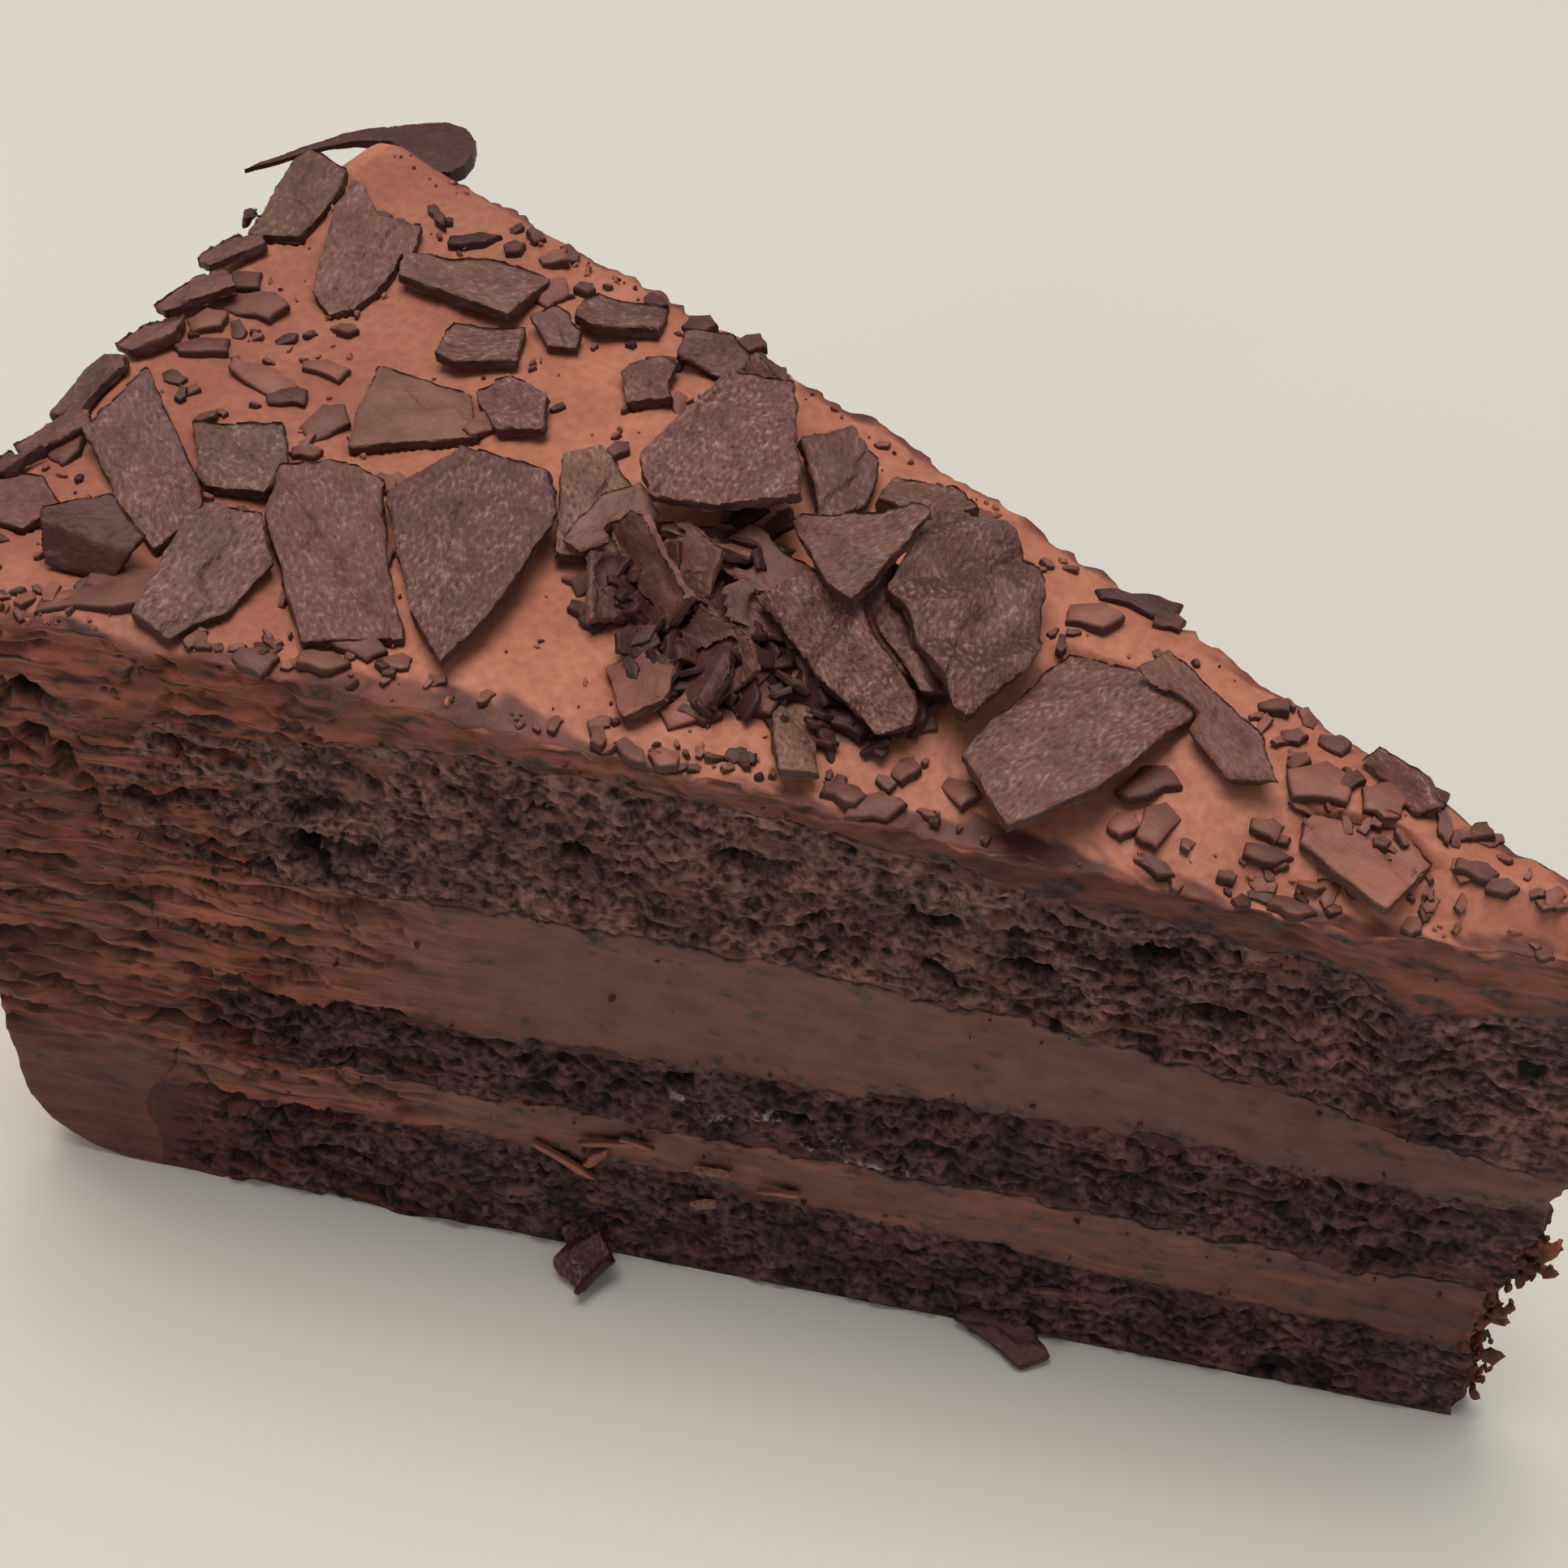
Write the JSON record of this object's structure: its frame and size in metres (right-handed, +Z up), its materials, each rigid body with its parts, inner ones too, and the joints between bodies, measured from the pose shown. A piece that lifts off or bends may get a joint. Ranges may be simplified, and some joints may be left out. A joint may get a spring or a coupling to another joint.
{
  "type": "slice of chocolate layer cake",
  "caption": "Wedge-shaped slice of dark chocolate layer cake with cream fillings, a chocolate cream coat over its top and rim, and broken chocolate shards on top.",
  "frame": {"origin": "on the base, on the slice's middle line, halfway between the whole cake's centre and its rim", "axes": "+Z up, +X along the middle line towards the tip, -Y towards the front cut face"},
  "size_m": [0.1272, 0.0696, 0.072],
  "materials": {
    "sponge": "moist dark chocolate sponge with open pores",
    "cream": "soft chocolate cream filling, smeared by the knife",
    "coat": "smooth matt milk chocolate cream",
    "shard": "broken dark chocolate with a fine pale grain"
  },
  "bodies": {
    "root": {"sponge_bottom": "sponge", "cream_lower": "cream", "sponge_middle": "sponge", "cream_upper": "cream", "sponge_top": "sponge", "shard_fan": "shard", "shard_slab": "shard", "shard_long": "shard", "shard_block": "shard", "shard_dark": "shard", "shard_front": "shard", "shard_smooth": "shard", "shard_five": "shard", "shard_tile": "shard", "shard_ledge": "shard", "shard_back": "shard", "shard_rim": "shard", "shard_rim_low": "shard", "shard_corner": "shard", "shard_broad": "shard", "shard_heap_back": "shard", "shard_heap_edge": "shard", "shard_heap_top": "shard", "shard_heap_front": "shard", "shard_heap_end": "shard", "shard_grain": "shard", "shard_plank": "shard", "shard_strip": "shard", "shard_flat": "shard", "shard_edge": "shard", "shard_stub": "shard", "shard_small_a": "shard", "shard_small_b": "shard", "shard_small_c": "shard", "shard_small_d": "shard", "shard_small_e": "shard", "shard_heap_mid": "shard", "shard_heap_under": "shard", "shard_heap_inner": "shard", "shard_heap_chip": "shard", "shard_heap_foot": "shard", "shard_side": "shard", "shard_rim_a": "shard", "shard_rim_b": "shard", "shard_rim_c": "shard", "shard_rim_d": "shard", "shard_rim_e": "shard", "shard_rim_f": "shard", "heap_blade_1": "shard", "heap_blade_2": "shard", "heap_blade_3": "shard", "heap_blade_4": "shard", "heap_blade_5": "shard", "heap_blade_6": "shard", "heap_blade_7": "shard", "coat": "coat", "foot_shard_a": "shard", "foot_shard_b": "shard"}
  },
  "joints": []
}
